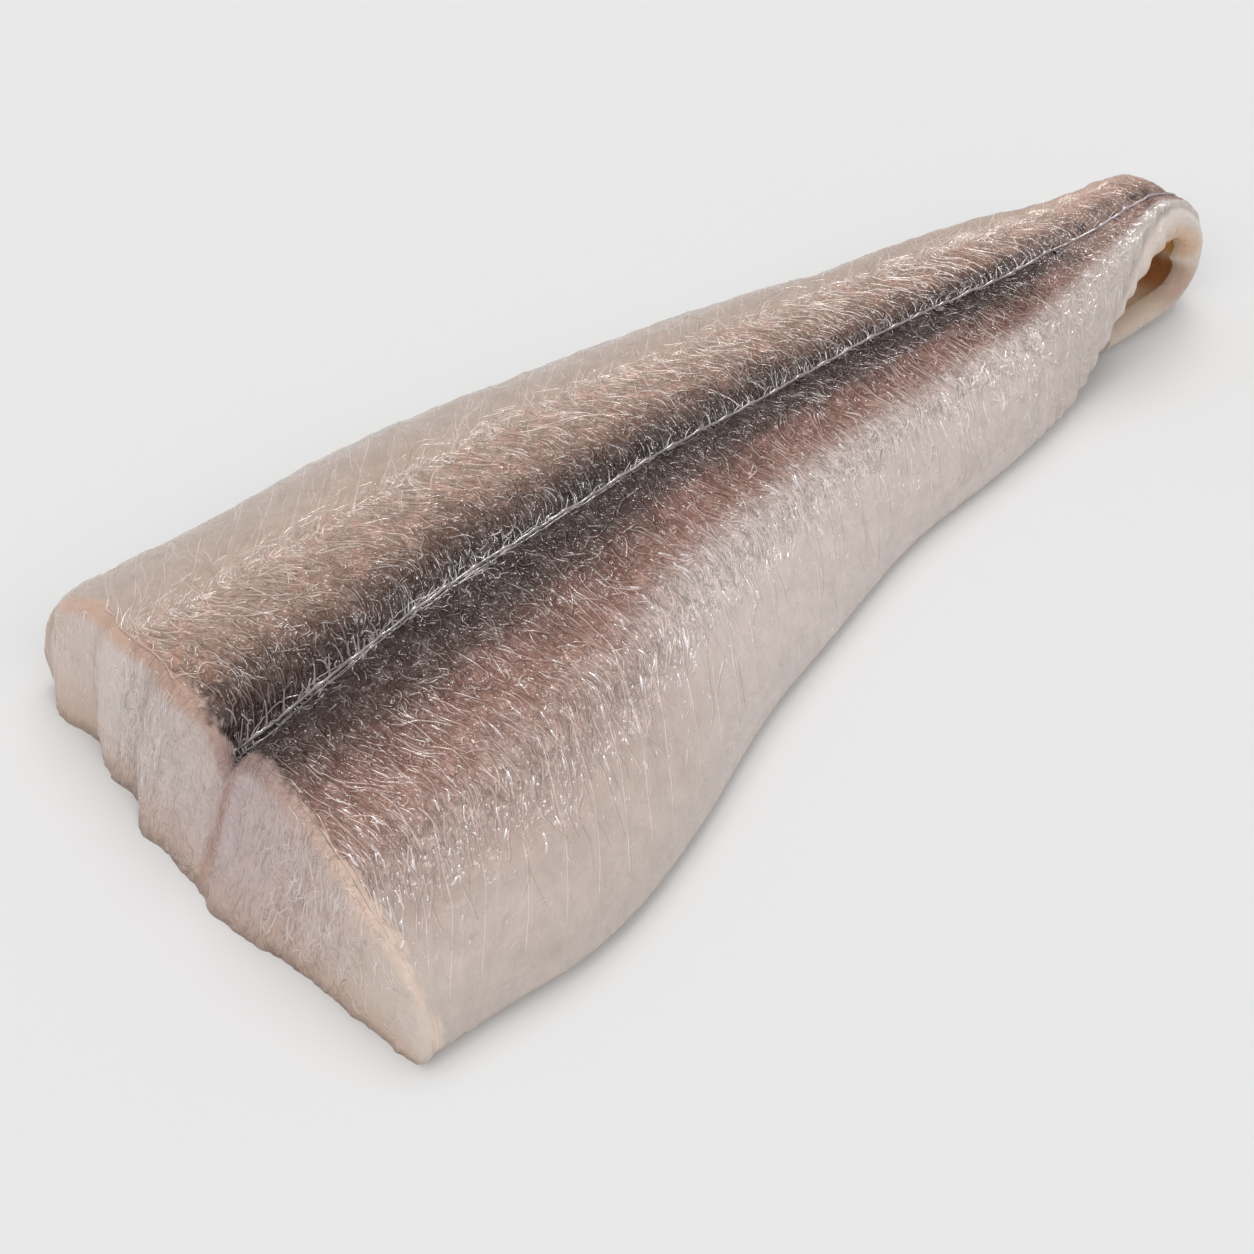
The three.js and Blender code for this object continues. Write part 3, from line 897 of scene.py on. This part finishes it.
rng = np.random.default_rng(31)
middle_runs = [
    strand(3, 288, 0.8, 0.42, 0.12, 9.0, 0.0, 0.24, rng),
    strand(2, 120, 0.8, 0.20, 0.95, 1e9, -1.57, 0.10, rng),
    strand(6, 140, 0.8, 0.16, 1.00, 4.6, 2.0, 0.00, rng),
    strand(4, 90, 0.8, 0.18, 1.70, 5.5, 5.0, 0.00, rng),
]

# %% Barbs
SMALL_BARBS = 150
starts = np.concatenate([np.arange(4, 262, 4.2), rng.uniform(3, 262, SMALL_BARBS)])
large = np.arange(len(starts)) < len(starts) - SMALL_BARBS
s = starts + rng.normal(0, 0.8, len(starts))
side = np.where(large | (rng.uniform(size=len(s)) < 0.4), 1, -1)
way = side * np.where(side > 0, rng.uniform(0.6, 1.0, len(s)), rng.uniform(1.2, 1.8, len(s)))
lengths = np.where(large, rng.uniform(2.2, 4.2, len(s)), rng.uniform(0.9, 2.0, len(s)))
t = np.linspace(0, 1, 6)
way = way[:, None] + rng.normal(0, 0.35, len(s))[:, None] * t
barb_s = s[:, None] + lengths[:, None] * np.cos(way) * t
off = 0.2 * side[:, None] + lengths[:, None] * np.sin(way) * t
barb_v = middle_line(s)[:, None] + off / half_width(s, 0 * s)[:, None]
radii = rng.uniform(0.24, 0.34, len(s))[:, None] * np.where(large, 1.0, 0.75)[:, None] * (1 - 0.6 * t)
barbs = raised(barb_s, barb_v, radii * 0.5 + 0.6 * t)
middle_runs.append((barbs, radii, barb_s, barb_v, np.ones_like(barb_s)))
count = 90
s = rng.uniform(2, 75, count)
v = middle_line(s) + rng.normal(-0.7, 1.5, count) / WIDEST
worm_s, worm_v = curly(s, v, (2, 5), 8, 0.7, 0.15, rng)
middle_runs.append(laid(worm_s, worm_v, rng.uniform(0.16, 0.25, count), 0.6, 0.2))
threads("midline", middle_runs, middle_pale)

# %% Main lines


def main_lines(side, v_start, v_end, seed):
    """Long lines along the walls on one side, level with the knots of the middle line."""
    rng = np.random.default_rng(seed)
    counts = np.arange(1, int(wall_count(np.array(276.0), np.array(0.0))) + 1)
    grid = np.linspace(0, 290, 1200)
    knots = np.interp(counts, wall_count(grid, 0 * grid), grid)
    knots = np.concatenate([knots, knots + 3.1, knots - 2.4])
    steps = 40
    over = np.linspace(v_start, v_end, steps)[None] * side * rng.uniform(0.75, 1.05, len(knots))[:, None]
    reach = knots[:, None] + np.interp(over, LINE_V, LINE_S) * half_width(knots[:, None], over) / WIDEST
    wiggle = 0.9 * lumps(over * 14 + knots[:, None], knots[:, None] * 0.37, seed)
    wiggle = wiggle + 0.3 * rng.normal(size=over.shape)
    s = np.clip(reach + wiggle * np.abs(over) / v_end, 1, 300)
    v = over + middle_line(knots)[:, None] * (1 - np.abs(over) / v_end)
    radius = 0.12 + 0.12 * smooth(120, 210, knots) + 0.14 * smooth(195, 240, knots)
    radius[len(counts):] *= 0.75
    taper = np.linspace(1.3, 0.6, steps)[None] * rng.uniform(0.7, 1.2, s.shape)
    radii = np.maximum(radius[:, None] * taper * (1 if side > 0 else smooth(0.2, 0.4, -over)), 0.015)
    return raised(s, v, -0.3 * radii), radii, s, v, np.ones_like(s)


line_runs = [main_lines(1, 0.012, 0.52, 41), main_lines(-1, 0.2, 0.64, 42)]
threads("main_lines", line_runs, thread_pale)
# Painted shadow beside the main lines, as dark threads.
threads("line_painted_shadows", [shadow_beside(run) for run in line_runs], shadow_material)

# %% [markdown]
# ## Seam of the back
# Where the back muscles meet, a narrow seam of curly pale tissue runs down most of the fillet.
# Outside it, sparse straight lines cross to the edge, and the same is done down the belly side.

# %% Seam and outer lines
rng = np.random.default_rng(51)
SEAM_S, SEAM_V = np.array([0, 60, 105, 150, 200, 262]), np.array([0.49, 0.49, 0.53, 0.52, 0.55, 0.6])
count = 330
s = rng.uniform(1, 225, count)
v = np.interp(s, SEAM_S, SEAM_V) + rng.normal(0, 0.5, count) / half_width(s, 1)
curl_s, curl_v = curly(s, v, (1.5, 4), 6, 0.9, 0.2, rng)
seam = laid(curl_s, curl_v, rng.uniform(0.14, 0.22, count), 0.5, 0.2)


def outer_lines(v_start, v_end, spacing, radius, seed):
    """Sparse straight lines outside the seam or down the belly side."""
    rng = np.random.default_rng(seed)
    first = np.arange(-10, 285, spacing) + rng.normal(0, 1.2, len(np.arange(-10, 285, spacing)))
    over = np.linspace(v_start, v_end, 24)[None] + 0 * first[:, None]
    half = half_width(np.clip(first, 0, 300)[:, None], over)
    s = first[:, None] + np.interp(over, LINE_V, LINE_S) * half / WIDEST
    s = np.clip(s + 0.5 * lumps(over * 9 + first[:, None], first[:, None] * 0.31, seed), 0.8, 300)
    radii = radius * rng.uniform(0.5, 1.2, s.shape) * smooth(0, 4, s)
    return raised(s, over, -0.45 * radii), radii, s, over, np.ones_like(s)


seam_pale = wet_material("seam_threads", (0.25, 0.7), 0.5, 0.1, 0.0, 0.5)
threads("seam", [
    seam, outer_lines(0.46, 0.97, 8.5, 0.22, 52), outer_lines(-0.97, -0.55, 8.5, 0.22, 53),
    fibres(150, (0.46, 0.85), (6, 18), (0.12, 0.18), 0.12, 0.02, 15, steps=12, lean=0.25, gap=2.0),
    fibres(120, (0.44, 0.62), (3, 9), (0.14, 0.2), 0.15, 0.05, 17,
           s_high=240, steps=8, lean=-0.9, gap=1.5),
], seam_pale)

# %% [markdown]
# ## Wrinkles at the tail
# The thin edge in front of the curl is puckered: worm-like wrinkles, glossy and pale.

# %% Wrinkles
rng = np.random.default_rng(61)
count = 300
s = rng.uniform(190, 268, count)
v = rng.uniform(-0.97, -0.6, count)
pucker_s, pucker_v = curly(s, v, (2, 5), 7, 0.5, 0.25, rng)
radius = rng.uniform(0.35, 0.6, count) * smooth(188, 215, s) + 0.08
pucker = laid(pucker_s, pucker_v, radius, 0.5, 0.55)
threads("wrinkles", [pucker], wet_material("puckers", (0.1, 0.4), 1.0, 0.1, 0.0, 0.5, (236, 226, 222)))

# %% [markdown]
# ## Fibres of the cut end
# The knife went straight across the muscle, so the cut shows fine pale fibres from top to foot,
# drawn a little with the blade. They lie on the cut face and are made like the other threads.

# %% Fibres on the cut
rng = np.random.default_rng(81)
count, steps = 430, 9
v = rng.uniform(-0.93, 0.95, count)
low = rng.uniform(0.02, 0.8, count)
tall = rng.uniform(0.15, 0.5, count)
w = np.clip(low[:, None] + tall[:, None] * np.linspace(0, 1, steps), 0.01, 0.97)
sway = np.cumsum(rng.normal(0, 0.5, (count, steps)), axis=1)
lean_over = rng.normal(0, 2.2, count)[:, None] * np.linspace(0, 1, steps)
v = np.clip(v[:, None] + (sway + lean_over) / WIDEST, -0.97, 0.97)
t = np.linspace(-1, 1, steps)
radius = rng.uniform(0.12, 0.22, count)[:, None]
radii = radius * (0.4 + 0.6 * (1 - t ** 4)) * np.ones_like(v)
face = raised(np.zeros_like(v), v, -radius * (0.4 + 1.1 * np.abs(t) ** 5), w)
cut_pale = wet_material("cut_threads", (0.2, 0.7), 0.5, pale=(246, 236, 232))
threads("cut_fibres", [(face, radii, np.zeros_like(v), v, w)], cut_pale)

# %% [markdown]
# ## Beads of water with painted glints
# The wet surface is dotted with tiny glints. Each is a small flattened bead, coloured near white: a
# painted highlight.

# %% Beads
rng = np.random.default_rng(71)
# Near-white beads: painted highlight dots.
glint_bead = wet_material("glint_beads", (0.8, 0.95), 1.0, 0.1, 0.0, 0.6, (250, 242, 236))
count = 450
s, v = scatter(count, -0.85, 0.55, 1, 245, rng, 1.5, 1.5)
spots = raised(s, v, 0.05 * np.ones_like(s))
sizes = rng.uniform(0.09, 0.18, len(s)) / 1000
turns = rng.uniform(0, math.pi, len(s))
drops = bmesh.new()
for spot_at, size, turned in zip(spots, sizes, turns):
    stretched = Matrix.Rotation(turned, 4, "Z") @ Matrix.Diagonal((1.6, 0.9, 0.7, 1))
    stretched = Matrix.Translation(spot_at) @ stretched
    bmesh.ops.create_icosphere(drops, subdivisions=1, radius=size, matrix=stretched)
bead_mesh = bpy.data.meshes.new("beads")
drops.to_mesh(bead_mesh)
drops.free()
each = len(bead_mesh.vertices) // len(s)
note(bead_mesh, np.repeat(s, each), np.repeat(v, each), np.ones(len(s) * each))
bead_mesh.shade_smooth()
bead_mesh.materials.append(glint_bead)
beads = bpy.data.objects.new("beads", bead_mesh)
scene.collection.objects.link(beads)
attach(beads, "root")
print("beads", len(bead_mesh.polygons), "triangles")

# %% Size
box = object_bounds()
for name, corners in (("solid", cad_box), ("visual", box)):
    print(name, [[round(c * 1000, 1) for c in corner] for corner in corners], "mm")
